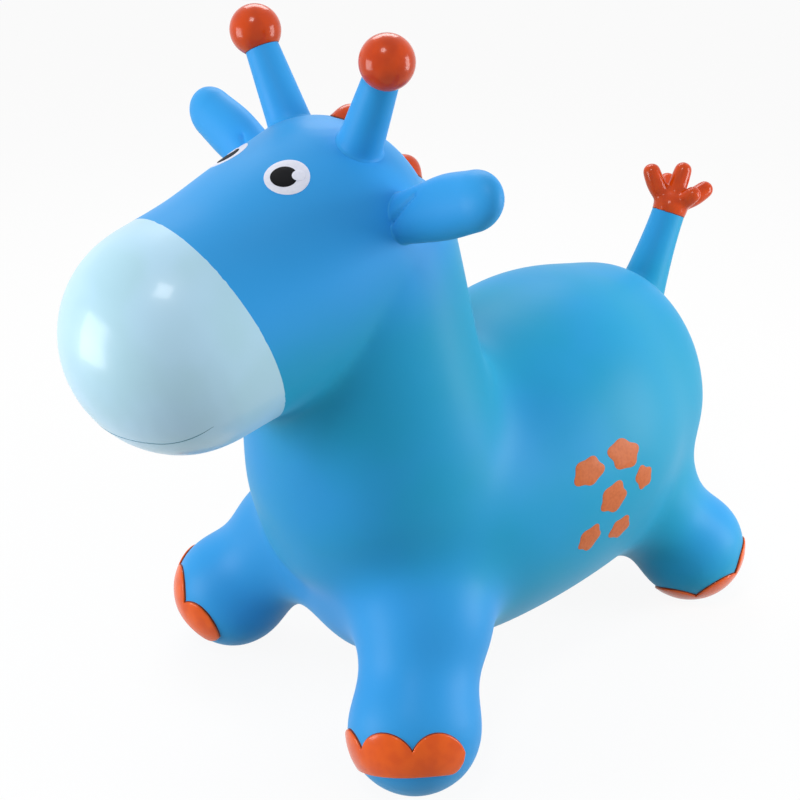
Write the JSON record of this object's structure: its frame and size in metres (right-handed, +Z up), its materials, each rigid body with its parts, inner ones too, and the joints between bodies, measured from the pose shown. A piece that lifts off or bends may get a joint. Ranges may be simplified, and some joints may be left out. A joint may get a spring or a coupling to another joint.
{
  "type": "bouncy ride-on animal",
  "caption": "Hollow soft-vinyl hopping giraffe for a small child to sit on, with splayed springy legs, bending horns, ears and tail, and an air valve.",
  "frame": {"origin": "centre of the bounding box on the floor that the four feet stand on", "axes": "-Y is the way the animal faces, +X its left side, +Z up"},
  "size_m": [0.3458, 0.6378, 0.5558],
  "materials": {
    "blue_vinyl": "satin soft vinyl, sprayed sky blue with a slight turquoise cast on the neck",
    "pale_vinyl": "glossy ice-blue paint on soft vinyl",
    "orange_vinyl": "glossy orange paint on soft vinyl",
    "white_print": "white printed ink",
    "black_print": "black printed ink",
    "clear_vinyl": "milky moulded plastic"
  },
  "bodies": {
    "trunk": {"trunk_skin": "blue_vinyl", "valve_seat": "clear_vinyl"},
    "head": {"eye_pupil_left": "black_print", "eye_pupil_right": "black_print", "eye_white_left": "white_print", "eye_white_right": "white_print", "head_skin": "blue_vinyl", "mane_lobe_1": "orange_vinyl", "mane_lobe_2": "orange_vinyl", "mane_lobe_3": "orange_vinyl", "muzzle_skin": "pale_vinyl"},
    "ear_left": {"ear_left": "blue_vinyl"},
    "horn_left": {"horn_knob_left": "orange_vinyl", "horn_left": "blue_vinyl"},
    "ear_right": {"ear_right": "blue_vinyl"},
    "horn_right": {"horn_knob_right": "orange_vinyl", "horn_right": "blue_vinyl"},
    "tail": {"tail": "blue_vinyl", "tail_tuft": "orange_vinyl"},
    "leg_front_left": {"leg_front_left": "blue_vinyl", "toe_cap_front_left": "orange_vinyl"},
    "leg_front_right": {"leg_front_right": "blue_vinyl", "toe_cap_front_right": "orange_vinyl"},
    "leg_rear_left": {"leg_rear_left": "blue_vinyl", "toe_cap_rear_left": "orange_vinyl"},
    "leg_rear_right": {"leg_rear_right": "blue_vinyl", "toe_cap_rear_right": "orange_vinyl"},
    "valve_plug": {"valve_plug": "clear_vinyl"}
  },
  "joints": [
    {"name": "head_nod", "type": "hinge", "parent": "trunk", "child": "head", "pos_m": [0, -0.08179, 0.284], "axis": [1, 0, 0], "range_deg": [-6, 8], "stiffness_Nm_per_rad": 30},
    {"name": "ear_left_flap", "type": "hinge", "parent": "head", "child": "ear_left", "pos_m": [0.0703, -0.10956, 0.43149], "axis": [0, 0, 1], "range_deg": [-14, 14], "stiffness_Nm_per_rad": 0.25},
    {"name": "horn_left_bend", "type": "hinge", "parent": "head", "child": "horn_left", "pos_m": [0.0365, -0.11604, 0.47188], "axis": [1, 0, 0], "range_deg": [-9, 9], "stiffness_Nm_per_rad": 0.8},
    {"name": "ear_right_flap", "type": "hinge", "parent": "head", "child": "ear_right", "pos_m": [-0.0703, -0.10956, 0.43149], "axis": [0, 0, 1], "range_deg": [-14, 14], "stiffness_Nm_per_rad": 0.25},
    {"name": "horn_right_bend", "type": "hinge", "parent": "head", "child": "horn_right", "pos_m": [-0.0365, -0.11604, 0.47188], "axis": [1, 0, 0], "range_deg": [-9, 9], "stiffness_Nm_per_rad": 0.8},
    {"name": "tail_bend", "type": "hinge", "parent": "trunk", "child": "tail", "pos_m": [0, 0.24966, 0.26474], "axis": [1, 0, 0], "range_deg": [-10, 10], "stiffness_Nm_per_rad": 1},
    {"name": "leg_front_left_splay", "type": "hinge", "parent": "trunk", "child": "leg_front_left", "pos_m": [0.08207, -0.09323, 0.10605], "axis": [0.7431, 0.6691, 0], "range_deg": [-6, 6], "stiffness_Nm_per_rad": 45},
    {"name": "leg_front_right_splay", "type": "hinge", "parent": "trunk", "child": "leg_front_right", "pos_m": [-0.08207, -0.09323, 0.10605], "axis": [0.7431, -0.6691, 0], "range_deg": [-6, 6], "stiffness_Nm_per_rad": 45},
    {"name": "leg_rear_left_splay", "type": "hinge", "parent": "trunk", "child": "leg_rear_left", "pos_m": [0.0647, 0.18851, 0.09968], "axis": [-0.7071, 0.7071, 0], "range_deg": [-6, 6], "stiffness_Nm_per_rad": 45},
    {"name": "leg_rear_right_splay", "type": "hinge", "parent": "trunk", "child": "leg_rear_right", "pos_m": [-0.0647, 0.18851, 0.09968], "axis": [-0.7071, -0.7071, 0], "range_deg": [-6, 6], "stiffness_Nm_per_rad": 45},
    {"name": "valve_plug_pull", "type": "slide", "parent": "trunk", "child": "valve_plug", "axis": [0, 0, -1], "range_m": [0, 0.016]}
  ]
}
